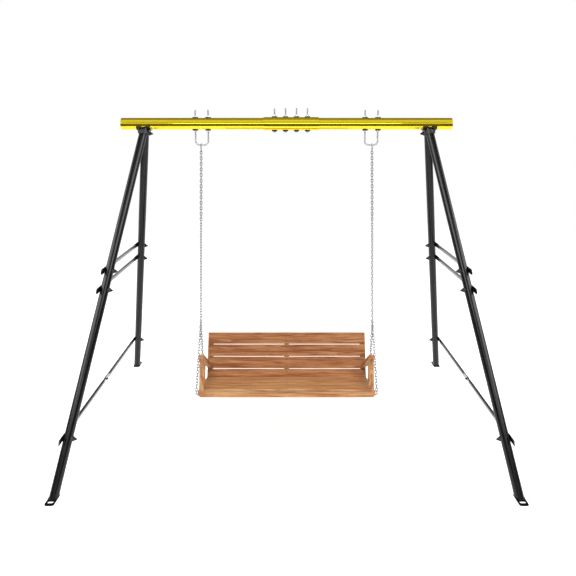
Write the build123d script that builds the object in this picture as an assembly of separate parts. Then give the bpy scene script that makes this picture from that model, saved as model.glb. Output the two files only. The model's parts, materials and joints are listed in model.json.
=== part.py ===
from build123d import *
import math
import os

# Two-seat timber bench hung on chains from a steel A-frame stand.
# Millimetres. X runs along the top beam, +Y is behind the bench, Z is up.
# The origin is on the ground, under the middle of the beam.

# ---------------------------------------------------------------- top beam
BEAM_Z = 1977.0
BEAM_LENGTH = 2100.0
BEAM_R = 38.0
BEAM_WALL = 2.5
BEAM_JOINT_X = 28.0
BEAM_JOINT_GAP = 1.0
SLEEVE_R = 43.0
SLEEVE_BORE_R = 38.3
SLEEVE_LENGTH = 350.0
SLEEVE_BOLT_X = (-105.0, -35.0, 35.0, 105.0)
SLEEVE_BOLT_TOP = 99.0
PLUG_LENGTH = 22.0
PLUG_WALL = 3.0

# ------------------------------------------------- M10 and M8 hardware
M10_R = 5.0
M10_HOLE_R = 5.4
M10_HEX = 17.0
M10_NUT_HEIGHT = 8.0
M10_HEAD_HEIGHT = 6.6
M8_R = 4.0
M8_HOLE_R = 4.4
M8_HEX = 13.0
M8_HEAD_HEIGHT = 5.5
M8_CAP_HEX_HEIGHT = 6.5
M8_CAP_BORE_EXTRA = 2.0
M8_CAP_DOME_INSET = 0.8
HEX_CORNER_CUT = 0.35
SHANK_CHAMFER = 0.8
DRILL_LENGTH = 120.0
SHORT_DRILL_LENGTH = 20.0
FIT_GAP = 0.05

# ------------------------------------------------- saddle washers on the beam
SADDLE_LENGTH = 34.0
SADDLE_WIDTH = 34.0
SADDLE_RISE = 4.5
SADDLE_CORNER_R = 6.0
SADDLE_EDGE_R = 1.5

# ---------------------------------------------------------------- U-bolts
UBOLT_X = 541.0
UBOLT_SPACING = 81.5
UBOLT_TOP = 88.0
UBOLT_DROP = 134.0
UBOLT_BEND_R = 25.0

# ---------------------------------------------------------------- A-frames
APEX_X = 900.0
FOOT_X = 1237.0
FOOT_Y = 862.0
LEG_R = 25.0
LEG_WALL = 2.0
LEG_START = 36.0
LEG_TRIM = 60.0
LEG_MITRE_GAP = 0.5
SPLAY = math.degrees(math.atan2(FOOT_X - APEX_X, BEAM_Z))
FRAME_DROP = math.hypot(FOOT_X - APEX_X, BEAM_Z)
HALF_ANGLE = math.degrees(math.atan2(FOOT_Y, FRAME_DROP))
LEG_LENGTH = math.hypot(FOOT_Y, FRAME_DROP)
COLLAR_R = 28.0
COLLAR_START = 48.0
COLLAR_CHAMFER = 1.2
COLLAR_LENGTH = 28.0

# ---------------------------------------------- bracket that carries the legs
SPIGOT_R = 22.4
SPIGOT_WALL = 3.0
SPIGOT_START = 20.0
SPIGOT_END = 160.0
BRACKET_PLATE = 5.0
BRACKET_LENGTH = 88.0
BRACKET_SHIFT = 8.0
BRACKET_EDGE_Z = -18.0
BRACKET_NOTCH_WIDTH = 20.0
BRACKET_NOTCH_Z = -34.0
BRACKET_SCREW_OFFSET = 34.0
BRACKET_SCREW_LENGTH = 14.0

# ---------------------------------------------------------------- cross bars
BAR_R = 12.5
BAR_WALL = 1.5
BAR_FLAT_THICKNESS = 5.0
BAR_FLAT_HEIGHT = 37.0
BAR_FLAT_SLIT = 0.8
BAR_FLAT_INNER = 46.0
BAR_TAPER = 45.0
BAR_OVERSHOOT = 68.0
BAR_SPLICE_OVERSHOOT = 19.0
BAR_CORNER_R = 10.0
BAR_SEAT_GAP = 0.1
UPPER_BAR_SHARE = 0.436
MIDDLE_BAR_SHARE = 0.488
LOWER_BAR_SHARE = 0.863

# ------------------------------------------------ spacer and cap nut on a leg
SPACER_BASE_R = 18.0
SPACER_TIP_R = 9.5
SPACER_HEIGHT = 11.0

# ---------------------------------------------------------------- feet
PLATE_THICKNESS = 5.0
PLATE_WIDTH = 52.0
PLATE_TAB = 68.0
PLATE_HEEL = 32.0
PLATE_CORNER_R = 13.0
PLATE_EDGE_R = 1.0
SLOT_OFFSET = 41.0
SLOT_LENGTH = 33.0
SLOT_R = 9.0

# ---------------------------------------------------------------- chains
HINGE_X = 547.0
BRIDLE_X = 570.0
LINK_R = 2.5
LINK_PITCH = 18.0
LINK_SLACK = 0.3
LINK_INNER_WIDTH = 7.0
LINK_INNER_LENGTH = LINK_PITCH + LINK_SLACK
UPPER_PITCHES = 60
STRAND_PITCHES = 25
QUICK_LINK_R = 3.0
QUICK_LINK_BEND_R = 5.5
QUICK_LINK_LENGTH = 35.0
QUICK_NUT_HEX = 10.0
QUICK_NUT_LENGTH = 15.0
RING_INNER_R = 11.0
RING_WIRE_R = 2.5
EYE_INNER_R = 5.5
EYE_WIRE_R = 2.5
EYE_SHANK_R = 2.5
EYE_SHANK_LENGTH = 42.0
HINGE_Z = BEAM_Z - UBOLT_DROP

# ---------------------------------------------------------------- bench
BENCH_SHIFT = -9.0
SEAT_FRONT_Y = -255.0
SEAT_FRONT_Z = 326.0
SEAT_TILT = 13.0
BENCH_HALF = 550.0
SEAT_SLATS = 5
SEAT_SLAT_WIDTH = 70.0
SEAT_SLAT_PITCH = 76.0
SEAT_SLAT_THICKNESS = 13.0
RAIL_HALF = 559.0
RAIL_THICKNESS = 24.0
RAIL_HEIGHT = 41.0
RAIL_SETBACK = 6.0
RAIL_CHAMFER = 17.0
SUPPORT_WIDTH = 34.0
SUPPORT_X = (-498.0, 0.0, 498.0)
BACK_TILT = 20.0
BACK_START_Y = 103.8
BACK_START_Z = 216.6
BACK_SLATS = 4
BACK_SLAT_WIDTH = 79.3
BACK_SLAT_PITCH = 82.5
BACK_SLAT_THICKNESS = 14.0
REAR_RAIL_TOP = 9.0
UPRIGHT_X = (-533.0, 0.0, 533.0)
UPRIGHT_WIDTH = 34.0
UPRIGHT_DEPTH = 30.0
UPRIGHT_HEEL = 40.0
UPRIGHT_MARGIN = 8.0
POST_WIDTH = 35.0
POST_DEPTH = 40.0
ARM_WIDTH = 37.0
ARM_THICKNESS = 22.0
ARM_TILT = 31.0
ARM_TIP_Y = -240.0
ARM_TIP_Z = 547.0
EDGE_R = 3.0
NOTCH_GAP = 1.0
ARM_SCREW_OFFSET = 9.0

# ---------------------------------------------------------------- wood screws
SCREW_R = 2.0
SCREW_HEAD_R = 4.0
SCREW_HEAD_HEIGHT = 2.4
SCREW_LENGTH = 34.0
SCREW_SINK = 0.2
SCREW_EDGE = 17.0
ARM_BRACKET_WIDTH = 16.0
ARM_BRACKET_LEG = 26.0
ARM_BRACKET_SHEET = 2.0
ARM_BRACKET_INSET = 8.0

DOWN = (Align.CENTER, Align.CENTER, Align.MAX)
UP = (Align.CENTER, Align.CENTER, Align.MIN)
LAP = (Align.CENTER, Align.MAX, Align.MAX)
REACH = 400.0


# ================================================================ helpers
def along_x(shape):
    """Turn a shape built along Z so that it lies along X."""
    return Rot(0, 90, 0) * shape


def group(solids):
    """Several separate solids kept together as one node."""
    return Compound(children=[solid for solid in solids])


def mirrored(shape):
    """The same piece on the other side of the middle."""
    return mirror(shape, about=Plane.YZ)


def on_both_sides(solids):
    """The given solids and their mirror images."""
    return list(solids) + [mirrored(solid) for solid in solids]


def hex_prism(across_flats, height):
    """Hexagonal block with lightly chamfered corners."""
    corner_r = across_flats / math.sqrt(3.0)
    block = extrude(RegularPolygon(corner_r, 6), height)
    rounding = Cylinder(corner_r - HEX_CORNER_CUT, height, align=UP)
    return block & rounding


def hex_nut(across_flats, height, bore_r):
    """Hexagonal nut standing on local Z = 0."""
    return hex_prism(across_flats, height) - Cylinder(bore_r, height, align=UP)


def hex_bolt(radius, across_flats, head_height, length):
    """Bolt with the underside of its head at Z = 0 and its shank hanging below."""
    shank = chamfer(Cylinder(radius, length, align=DOWN).edges().sort_by(Axis.Z)[0], SHANK_CHAMFER)
    return hex_prism(across_flats, head_height) + shank


def saddle_washer(seat_r, hole_r):
    """Block hollowed to sit on a tube along X, its flat top SADDLE_RISE above the tube."""
    top = seat_r + SADDLE_RISE
    drop = seat_r - math.sqrt(seat_r**2 - (SADDLE_WIDTH / 2) ** 2)
    height = SADDLE_RISE + drop
    block = Box(SADDLE_LENGTH, SADDLE_WIDTH, height, align=DOWN)
    block = fillet(block.edges().filter_by(Axis.Z), SADDLE_CORNER_R)
    block = fillet(block.faces().sort_by(Axis.Z)[-1].edges(), SADDLE_EDGE_R)
    block = Pos(0, 0, top) * block
    block -= along_x(Cylinder(seat_r + FIT_GAP, 2 * SADDLE_LENGTH))
    return block - Pos(0, 0, top) * Cylinder(hole_r, DRILL_LENGTH)


# ================================================================ top beam
def beam_holes():
    """Everything drilled through the beam, in world coordinates."""
    places = [BEAM_JOINT_X + offset for offset in SLEEVE_BOLT_X]
    for side in (-1, 1):
        places += [side * UBOLT_X - UBOLT_SPACING / 2, side * UBOLT_X + UBOLT_SPACING / 2]
    drills = [Pos(x, 0, BEAM_Z) * Cylinder(M10_HOLE_R, DRILL_LENGTH) for x in places]
    for x in bracket_screw_places():
        for side in (-1, 1):
            drills.append(Pos(side * x, 0, BEAM_Z - BEAM_R) * Cylinder(M8_HOLE_R, SHORT_DRILL_LENGTH))
    return drills


def bracket_screw_places():
    """X of the two screws that hold a leg bracket up against the beam."""
    middle = APEX_X + BRACKET_SHIFT
    return (middle - BRACKET_SCREW_OFFSET, middle + BRACKET_SCREW_OFFSET)


def beam_tube(start_x, end_x):
    """One length of the beam."""
    length = end_x - start_x
    tube = Cylinder(BEAM_R, length) - Cylinder(BEAM_R - BEAM_WALL, length)
    return Pos((start_x + end_x) / 2, 0, BEAM_Z) * along_x(tube) - beam_holes()


def beam_sleeve():
    """Outer tube that joins the two beam lengths."""
    tube = Cylinder(SLEEVE_R, SLEEVE_LENGTH) - Cylinder(SLEEVE_BORE_R, SLEEVE_LENGTH)
    return Pos(BEAM_JOINT_X, 0, BEAM_Z) * along_x(tube) - beam_holes()


def end_plug():
    """Cup pushed flush into the right-hand end of the beam."""
    outer_r = BEAM_R - BEAM_WALL - FIT_GAP
    cup = Cylinder(outer_r, PLUG_LENGTH, align=DOWN)
    cup -= Pos(0, 0, -PLUG_WALL) * Cylinder(outer_r - PLUG_WALL, PLUG_LENGTH, align=DOWN)
    return Pos(BEAM_LENGTH / 2, 0, BEAM_Z) * along_x(cup)


def sleeve_hardware():
    """Bolts, nuts and saddle washers of the sleeve."""
    bolts = []
    nuts = []
    washers = []
    seat = SLEEVE_R + SADDLE_RISE
    for offset in SLEEVE_BOLT_X:
        centre = Pos(BEAM_JOINT_X + offset, 0, BEAM_Z)
        bolt = hex_bolt(M10_R, M10_HEX, M10_HEAD_HEIGHT, seat + SLEEVE_BOLT_TOP)
        nut = hex_nut(M10_HEX, M10_NUT_HEIGHT, M10_R + FIT_GAP)
        washer = saddle_washer(SLEEVE_R, M10_R + FIT_GAP)
        bolts.append(centre * Pos(0, 0, -seat) * Rot(180, 0, 0) * bolt)
        nuts.append(centre * Pos(0, 0, seat) * nut)
        washers += [centre * washer, centre * Rot(180, 0, 0) * washer]
    return bolts, nuts, washers


# ================================================================ U-bolts
def ubolt():
    """Right-hand U-bolt: two threaded rods joined by a rounded bottom."""
    half = UBOLT_SPACING / 2
    path = FilletPolyline(
        (-half, 0, UBOLT_TOP),
        (-half, 0, -UBOLT_DROP),
        (half, 0, -UBOLT_DROP),
        (half, 0, UBOLT_TOP),
        radius=UBOLT_BEND_R,
    )
    profile = Plane(origin=(-half, 0, UBOLT_TOP), z_dir=(0, 0, -1)) * Circle(M10_R)
    return Pos(UBOLT_X, 0, BEAM_Z) * sweep(profile, path=path)


def ubolt_hardware():
    """Nuts and saddle washers above and below the beam, on both rods of one U-bolt."""
    nuts = []
    washers = []
    seat = BEAM_R + SADDLE_RISE
    for offset in (-UBOLT_SPACING / 2, UBOLT_SPACING / 2):
        for turn in (0, 180):
            place = Pos(UBOLT_X + offset, 0, BEAM_Z) * Rot(turn, 0, 0)
            nuts.append(place * Pos(0, 0, seat) * hex_nut(M10_HEX, M10_NUT_HEIGHT, M10_R + FIT_GAP))
            washers.append(place * saddle_washer(BEAM_R, M10_R + FIT_GAP))
    return nuts, washers


# ================================================================ A-frame
# The right-hand frame is built and mirrored. In FRAME, local X points out of the
# stand, Y runs along the bars and Z goes up the slope. In leg_place, local -Z runs
# down the leg.
FRAME = Pos(APEX_X, 0, BEAM_Z) * Rot(0, -SPLAY, 0)


def leg_place(end):
    """Placement of the front (-1) or rear (+1) leg."""
    return FRAME * Rot(end * HALF_ANGLE, 0, 0)


def bar_drop(share):
    """Distance of a bar below the apex, measured down the slope of the frame."""
    return share * FRAME_DROP


def bar_reach(share):
    """Distance of a bar's leg bolts from the middle of the bar."""
    return share * FOOT_Y


def leg_bolt_distances():
    """Distances down a leg of the collar bolt and the bar bolts."""
    shares = (UPPER_BAR_SHARE, MIDDLE_BAR_SHARE, LOWER_BAR_SHARE)
    return [COLLAR_START + COLLAR_LENGTH / 2] + [share * LEG_LENGTH for share in shares]


def cross_drill(distance):
    """Drill across a leg, in leg_place coordinates."""
    return Pos(0, 0, -distance) * along_x(Cylinder(M8_HOLE_R, DRILL_LENGTH))


def other_side(end):
    """Everything across the middle plane from the given end, where that end's pieces are mitred."""
    align = (Align.CENTER, Align.MAX if end > 0 else Align.MIN, Align.CENTER)
    return Pos(APEX_X, end * LEG_MITRE_GAP, BEAM_Z) * Box(REACH, REACH, REACH, align=align)


def leg(end):
    """Tube leg, mitred under the beam and cut level where it stands on its foot plate."""
    length = LEG_LENGTH + LEG_TRIM - LEG_START
    tube = Cylinder(LEG_R, length, align=DOWN) - Cylinder(LEG_R - LEG_WALL, length, align=DOWN)
    tube = Pos(0, 0, -LEG_START) * tube
    tube -= [cross_drill(distance) for distance in leg_bolt_distances()]
    ground = Pos(FOOT_X, end * FOOT_Y, PLATE_THICKNESS) * Box(REACH, REACH, REACH, align=DOWN)
    saddle = Pos(APEX_X, 0, BEAM_Z) * along_x(Cylinder(BEAM_R + BRACKET_PLATE + FIT_GAP, REACH))
    return leg_place(end) * tube - ground - saddle - other_side(end)


def leg_collar(end):
    """Band round the top of a leg."""
    ring = Cylinder(COLLAR_R, COLLAR_LENGTH, align=DOWN)
    ring -= Cylinder(LEG_R + FIT_GAP, COLLAR_LENGTH, align=DOWN)
    ring = chamfer(ring.edges().filter_by(GeomType.CIRCLE).group_by(SortBy.RADIUS)[-1], COLLAR_CHAMFER)
    ring = Pos(0, 0, -COLLAR_START) * ring
    return leg_place(end) * (ring - cross_drill(leg_bolt_distances()[0])) - other_side(end)


def leg_bracket():
    """Saddle under the beam with two spigots that the legs slide over."""
    middle = APEX_X + BRACKET_SHIFT
    length = SPIGOT_END - SPIGOT_START
    bracket = None
    for end in (-1, 1):
        spigot = leg_place(end) * Pos(0, 0, -SPIGOT_START) * Cylinder(SPIGOT_R, length, align=DOWN)
        bracket = spigot if bracket is None else bracket + spigot
    for end in (-1, 1):
        bore = Cylinder(SPIGOT_R - SPIGOT_WALL, length, align=DOWN)
        bracket -= leg_place(end) * Pos(0, 0, -SPIGOT_START) * bore
        bracket -= leg_place(end) * cross_drill(leg_bolt_distances()[0])
    saddle = along_x(Cylinder(BEAM_R + BRACKET_PLATE, BRACKET_LENGTH))
    saddle -= Pos(0, 0, BRACKET_EDGE_Z) * Box(REACH, REACH, REACH, align=UP)
    saddle -= Pos(0, 0, BRACKET_NOTCH_Z) * Box(BRACKET_NOTCH_WIDTH, REACH, REACH, align=UP)
    bracket += Pos(middle, 0, BEAM_Z) * saddle
    bracket -= Pos(middle, 0, BEAM_Z) * along_x(Cylinder(BEAM_R + FIT_GAP, REACH))
    for x in bracket_screw_places():
        bracket -= Pos(x, 0, BEAM_Z - BEAM_R) * Cylinder(M8_HOLE_R, SHORT_DRILL_LENGTH)
    return bracket


def bracket_screws():
    """Screws from below through the saddle into the beam."""
    seat_z = BEAM_Z - BEAM_R - BRACKET_PLATE
    screw = Rot(180, 0, 0) * hex_bolt(M8_R, M8_HEX, M8_HEAD_HEIGHT, BRACKET_SCREW_LENGTH)
    return [Pos(x, 0, seat_z) * screw for x in bracket_screw_places()]


# ================================================================ cross bars
def bar_section(x, y, half_thickness, half_height):
    """Outline across a bar: round when the two halves are equal, else flattened."""
    plane = Plane(origin=(x, y, 0), x_dir=(1, 0, 0), z_dir=(0, 1, 0))
    round_section = half_thickness == half_height
    side = half_thickness / math.sqrt(2.0) if round_section else half_thickness
    rise = side if round_section else half_height - half_thickness
    right_top = (side, rise)
    left_top = (-side, rise)
    left_bottom = (-side, -rise)
    right_bottom = (side, -rise)
    top = ThreePointArc(right_top, (0, half_height), left_top)
    bottom = ThreePointArc(left_bottom, (0, -half_height), right_bottom)
    if round_section:
        left = ThreePointArc(left_top, (-half_thickness, 0), left_bottom)
        right = ThreePointArc(right_bottom, (half_thickness, 0), right_top)
    else:
        left = Line(left_top, left_bottom)
        right = Line(right_bottom, right_top)
    return plane * make_face([top, left, bottom, right])


def bar_skin(ends, wall):
    """Body of a bar, set in by wall all round. ends are (y, flat length, flat x offset)."""
    round_r = BAR_R - wall
    if wall:
        flat_t = BAR_FLAT_SLIT / 2
        flat_h = BAR_FLAT_HEIGHT / 2 - wall
    else:
        flat_t = BAR_FLAT_THICKNESS / 2
        flat_h = BAR_FLAT_HEIGHT / 2
    (y0, flat0, x0), (y1, flat1, x1) = ends
    round_start = y0 + flat0 + BAR_TAPER
    round_end = y1 - flat1 - BAR_TAPER
    middle = extrude(bar_section(0, round_start, round_r, round_r), round_end - round_start)
    first_flat = extrude(bar_section(x0, y0, flat_t, flat_h), flat0)
    last_flat = extrude(bar_section(x1, y1 - flat1, flat_t, flat_h), flat1)
    first_taper = loft(
        [bar_section(x0, y0 + flat0, flat_t, flat_h), bar_section(0, round_start, round_r, round_r)],
        ruled=True,
    )
    last_taper = loft(
        [bar_section(0, round_end, round_r, round_r), bar_section(x1, y1 - flat1, flat_t, flat_h)],
        ruled=True,
    )
    return middle + first_flat + last_flat + first_taper + last_taper


def flattened_bar(ends, hole_places):
    """Round tube along Y with pressed flat ends, in coordinates centred on the tube."""
    bar = bar_skin(ends, 0.0) - bar_skin(ends, BAR_WALL)
    y0 = ends[0][0]
    y1 = ends[1][0]
    outline = Box(REACH, y1 - y0, BAR_FLAT_HEIGHT)
    outline = Pos(0, (y0 + y1) / 2, 0) * fillet(outline.edges().filter_by(Axis.X), BAR_CORNER_R)
    bar &= outline
    bar -= [Pos(0, y, 0) * along_x(Cylinder(M8_HOLE_R, DRILL_LENGTH)) for y in hole_places]
    return bar


def bar_place(share):
    """Placement of a bar's own coordinates on the outside of the right-hand frame."""
    offset = LEG_R + BAR_SEAT_GAP + BAR_FLAT_THICKNESS / 2
    return FRAME * Pos(offset, 0, -bar_drop(share))


def whole_bar(share):
    """Bar that reaches from the front leg to the rear leg in one piece."""
    reach = bar_reach(share)
    tip = reach + BAR_OVERSHOOT
    flat = BAR_OVERSHOOT + BAR_FLAT_INNER
    bar = flattened_bar([(-tip, flat, 0.0), (tip, flat, 0.0)], (-reach, reach))
    return bar_place(share) * bar


def splice_offset():
    """How far each half of the lower bar steps aside where the halves overlap."""
    return (BAR_FLAT_THICKNESS + BAR_SEAT_GAP) / 2


def half_bar(end):
    """Front (-1) or rear (+1) half of the lower bar."""
    reach = bar_reach(LOWER_BAR_SHARE)
    tip = reach + BAR_OVERSHOOT
    leg_flat = BAR_OVERSHOOT + BAR_FLAT_INNER
    splice_flat = 2 * BAR_SPLICE_OVERSHOOT
    step = end * splice_offset()
    if end < 0:
        ends = [(-tip, leg_flat, 0.0), (BAR_SPLICE_OVERSHOOT, splice_flat, step)]
    else:
        ends = [(-BAR_SPLICE_OVERSHOOT, splice_flat, step), (tip, leg_flat, 0.0)]
    return bar_place(LOWER_BAR_SHARE) * flattened_bar(ends, (end * reach, 0.0))


# ================================================================ frame fasteners
def cap_nut():
    """Domed nut standing on local Z = 0, open at the bottom."""
    body = hex_prism(M8_HEX, M8_CAP_HEX_HEIGHT)
    dome_r = M8_HEX / 2 - M8_CAP_DOME_INSET
    dome = Pos(0, 0, M8_CAP_HEX_HEIGHT) * Sphere(dome_r)
    dome -= Box(REACH, REACH, REACH, align=DOWN)
    bore = Cylinder(M8_R + FIT_GAP, M8_CAP_HEX_HEIGHT + M8_CAP_BORE_EXTRA, align=UP)
    return body + dome - bore


def leg_spacer(seat_r):
    """Tapered block hollowed to sit on a leg, its axis up and its tip SPACER_HEIGHT proud."""
    base = math.sqrt(seat_r**2 - SPACER_BASE_R**2)
    tip = seat_r + SPACER_HEIGHT
    block = Cone(SPACER_BASE_R, SPACER_TIP_R, tip - base, align=UP)
    block = Pos(0, 0, base) * block - Rot(90, 0, 0) * Cylinder(seat_r + FIT_GAP, REACH)
    return block - Pos(0, 0, base) * Cylinder(M8_R + FIT_GAP, DRILL_LENGTH, align=UP)


def fastener_set(place, outer_r, inner_r):
    """Bolt, cap nut and spacer across a leg whose axis is local Z, head on local +X."""
    tip = inner_r + SPACER_HEIGHT
    outward = place * Rot(0, 90, 0)
    inward = place * Rot(0, -90, 0) * Rot(0, 0, 90)
    shank = outer_r + tip + M8_CAP_HEX_HEIGHT
    bolt = outward * Pos(0, 0, outer_r) * hex_bolt(M8_R, M8_HEX, M8_HEAD_HEIGHT, shank)
    nut = inward * Pos(0, 0, tip) * cap_nut()
    spacer = place * Rot(0, -90, 0) * Rot(0, 0, 90) * leg_spacer(inner_r)
    return bolt, nut, spacer


def frame_fasteners():
    """All through-bolts of the right-hand A-frame."""
    bolts = []
    nuts = []
    spacers = []
    collar_bolt, *bar_bolts = leg_bolt_distances()
    bar_seat = LEG_R + BAR_SEAT_GAP + BAR_FLAT_THICKNESS
    for end in (-1, 1):
        sites = [(collar_bolt, COLLAR_R + FIT_GAP, COLLAR_R)]
        sites += [(distance, bar_seat, LEG_R) for distance in bar_bolts]
        for distance, outer_r, inner_r in sites:
            place = leg_place(end) * Pos(0, 0, -distance)
            bolt, nut, spacer = fastener_set(place, outer_r, inner_r)
            bolts.append(bolt)
            nuts.append(nut)
            spacers.append(spacer)
    splice = bar_place(LOWER_BAR_SHARE)
    stack = BAR_FLAT_THICKNESS + BAR_SEAT_GAP / 2
    shank = 2 * stack + M8_CAP_HEX_HEIGHT
    bolt = Pos(0, 0, stack) * hex_bolt(M8_R, M8_HEX, M8_HEAD_HEIGHT, shank)
    bolts.append(splice * Rot(0, 90, 0) * bolt)
    nuts.append(splice * Rot(0, -90, 0) * Pos(0, 0, stack) * cap_nut())
    return bolts, nuts, spacers


# ================================================================ feet
def foot_plate(end):
    """Slotted plate welded under the front (-1) or rear (+1) leg of the right-hand frame."""
    length = PLATE_TAB + PLATE_HEEL
    blank = extrude(RectangleRounded(PLATE_WIDTH, length, PLATE_CORNER_R), PLATE_THICKNESS)
    blank = fillet(blank.faces().sort_by(Axis.Z)[-1].edges(), PLATE_EDGE_R)
    plate = Pos(0, (PLATE_TAB - PLATE_HEEL) / 2, 0) * blank
    plate -= Pos(0, SLOT_OFFSET, 0) * extrude(SlotOverall(SLOT_LENGTH, 2 * SLOT_R), PLATE_THICKNESS)
    turned = plate if end > 0 else Rot(0, 0, 180) * plate
    return Pos(FOOT_X, end * FOOT_Y, 0) * turned


# ================================================================ chains
def oval_link(wire_r, bend_r, straight):
    """Closed link in the local YZ plane; bend_r is the inside radius of its two ends."""
    ring_r = bend_r + wire_r
    end = revolve(Plane.XY * Pos(0, ring_r, 0) * Circle(wire_r), Axis.X, 180)
    side = Cylinder(wire_r, straight)
    sides = [Pos(0, y, 0) * side for y in (-ring_r, ring_r)]
    top = Pos(0, 0, straight / 2) * end
    bottom = Pos(0, 0, -straight / 2) * Rot(180, 0, 0) * end
    return top + sides + bottom


def chain_link():
    """One link of the chain, standing upright in the local YZ plane."""
    bend_r = LINK_INNER_WIDTH / 2
    return oval_link(LINK_R, bend_r, LINK_INNER_LENGTH - 2 * bend_r)


def chain_run(place, first, pitches, turned_first):
    """Links hanging down local -Z; the first centre is at distance first."""
    link = chain_link()
    links = []
    for index in range(pitches + 1):
        turn = 90 if (index % 2 == 0) == turned_first else 0
        links.append(place * Pos(0, 0, -(first + index * LINK_PITCH)) * Rot(0, 0, turn) * link)
    return links


# Distances between link centres and the things they hang on, with running slack.
HALF_LINK = LINK_INNER_LENGTH / 2
FIRST_LINK = QUICK_LINK_LENGTH + QUICK_LINK_BEND_R - LINK_SLACK / 2 + HALF_LINK
RING_TO_LINK = RING_INNER_R - LINK_SLACK + HALF_LINK
EYE_TO_LINK = EYE_INNER_R - LINK_SLACK + HALF_LINK
HANGER_LENGTH = FIRST_LINK + UPPER_PITCHES * LINK_PITCH + RING_TO_LINK
STRAND_LENGTH = RING_TO_LINK + STRAND_PITCHES * LINK_PITCH + EYE_TO_LINK
LEAN = math.degrees(math.asin((BRIDLE_X - HINGE_X) / HANGER_LENGTH))
RING_Z = HINGE_Z - HANGER_LENGTH * math.cos(math.radians(LEAN))
HANGER = Pos(HINGE_X, 0, HINGE_Z) * Rot(0, -LEAN, 0)


def quick_link():
    """Link that hangs on the U-bolt, and the sleeve nut that closes it."""
    body = oval_link(QUICK_LINK_R, QUICK_LINK_BEND_R, QUICK_LINK_LENGTH)
    side_y = QUICK_LINK_BEND_R + QUICK_LINK_R
    nut = hex_nut(QUICK_NUT_HEX, QUICK_NUT_LENGTH, QUICK_LINK_R + FIT_GAP)
    place = HANGER * Pos(0, 0, -QUICK_LINK_LENGTH / 2)
    return place * body, place * Pos(0, -side_y, -QUICK_NUT_LENGTH / 2) * nut


def upper_chain():
    """Chain from the quick link down to the ring."""
    return chain_run(HANGER, FIRST_LINK, UPPER_PITCHES, True)


def bridle_ring():
    """Ring that joins the hanging chain to the two strands of the bridle."""
    return Pos(BRIDLE_X, 0, RING_Z) * along_x(Torus(RING_INNER_R + RING_WIRE_R, RING_WIRE_R))


def strand_place(eye_y):
    """Placement of a bridle strand: local -Z runs from the ring to an eye at world Y eye_y."""
    swing = math.degrees(math.asin(eye_y / STRAND_LENGTH))
    return Pos(BRIDLE_X, 0, RING_Z) * Rot(swing, 0, 0)


def strand(eye_y):
    """Chain from the ring to one corner of the bench."""
    return chain_run(strand_place(eye_y), RING_TO_LINK, STRAND_PITCHES, True)


def eye_shape(grow):
    """Eye screw in strand coordinates: eye at the origin, shank towards the bench."""
    shank = along_x(Cylinder(EYE_SHANK_R + grow, EYE_SHANK_LENGTH, align=DOWN))
    shank = Pos(-EYE_INNER_R - EYE_WIRE_R, 0, 0) * shank
    if grow:
        return shank
    return shank + Rot(90, 0, 0) * Torus(EYE_INNER_R + EYE_WIRE_R, EYE_WIRE_R)


def eye_screw(eye_y, grow=0.0):
    """Eye screw at one bench corner; grow widens the shank to make its hole."""
    return strand_place(eye_y) * Pos(0, 0, -STRAND_LENGTH) * eye_shape(grow)


# ================================================================ bench
# SEAT has its origin on the front top edge of the seat, local Y running back down the
# seat. BACK has its origin on the front face of the back, local Z running up it and
# local Y pointing behind it. ARM runs down the top of an arm rest from its front tip.
SEAT = Pos(0, SEAT_FRONT_Y + BENCH_SHIFT, SEAT_FRONT_Z) * Rot(-SEAT_TILT, 0, 0)
BACK = Pos(0, BACK_START_Y + BENCH_SHIFT, BACK_START_Z) * Rot(-BACK_TILT, 0, 0)
POST_X = BENCH_HALF - POST_WIDTH / 2
ARM = Pos(POST_X, ARM_TIP_Y + BENCH_SHIFT, ARM_TIP_Z) * Rot(-ARM_TILT, 0, 0)
RAIL_BACK_Y = RAIL_SETBACK + RAIL_THICKNESS


def rail_middle(place, y, z):
    """World Y of the middle of a rail's end face."""
    return (place * Pos(0, y, z)).position.Y


FRONT_EYE_Y = rail_middle(SEAT, RAIL_SETBACK + RAIL_THICKNESS / 2, -SEAT_SLAT_THICKNESS - RAIL_HEIGHT / 2)
REAR_EYE_Y = rail_middle(BACK, -RAIL_THICKNESS / 2, REAR_RAIL_TOP - RAIL_HEIGHT / 2)


def board(length, width, thickness):
    """Timber along X with eased long edges: front edge at local Y = 0, top at local Z = 0."""
    blank = Box(length, width, thickness, align=(Align.CENTER, Align.MIN, Align.MAX))
    return fillet(blank.edges().filter_by(Axis.X), EDGE_R)


def wood_screw(length=SCREW_LENGTH, grow=0.0):
    """Countersunk screw pointing down, its head sunk just below local Z = 0."""
    head = Cone(SCREW_R + grow, SCREW_HEAD_R + grow, SCREW_HEAD_HEIGHT, align=DOWN)
    shank = Cylinder(SCREW_R + grow, length - SCREW_SINK + grow, align=DOWN)
    return Pos(0, 0, -SCREW_SINK) * (head + shank)


def screw_hole():
    """Clearance for a wood screw, open above its sunk head."""
    mouth = Pos(0, 0, -SCREW_SINK) * Cylinder(SCREW_HEAD_R + FIT_GAP, 10.0, align=UP)
    return wood_screw(grow=FIT_GAP) + mouth


def seat_screw_places(slat):
    """Two screws into each support, for one seat slat."""
    y0 = slat * SEAT_SLAT_PITCH
    offsets = (SCREW_EDGE, SEAT_SLAT_WIDTH - SCREW_EDGE)
    return [SEAT * Pos(x, y0 + offset, 0) for x in SUPPORT_X for offset in offsets]


def back_screw_places(slat):
    """Two screws into each upright, for one back slat."""
    z0 = slat * BACK_SLAT_PITCH
    offsets = (SCREW_EDGE, BACK_SLAT_WIDTH - SCREW_EDGE)
    return [BACK * Pos(x, 0, z0 + offset) * Rot(90, 0, 0) for x in UPRIGHT_X for offset in offsets]


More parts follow.
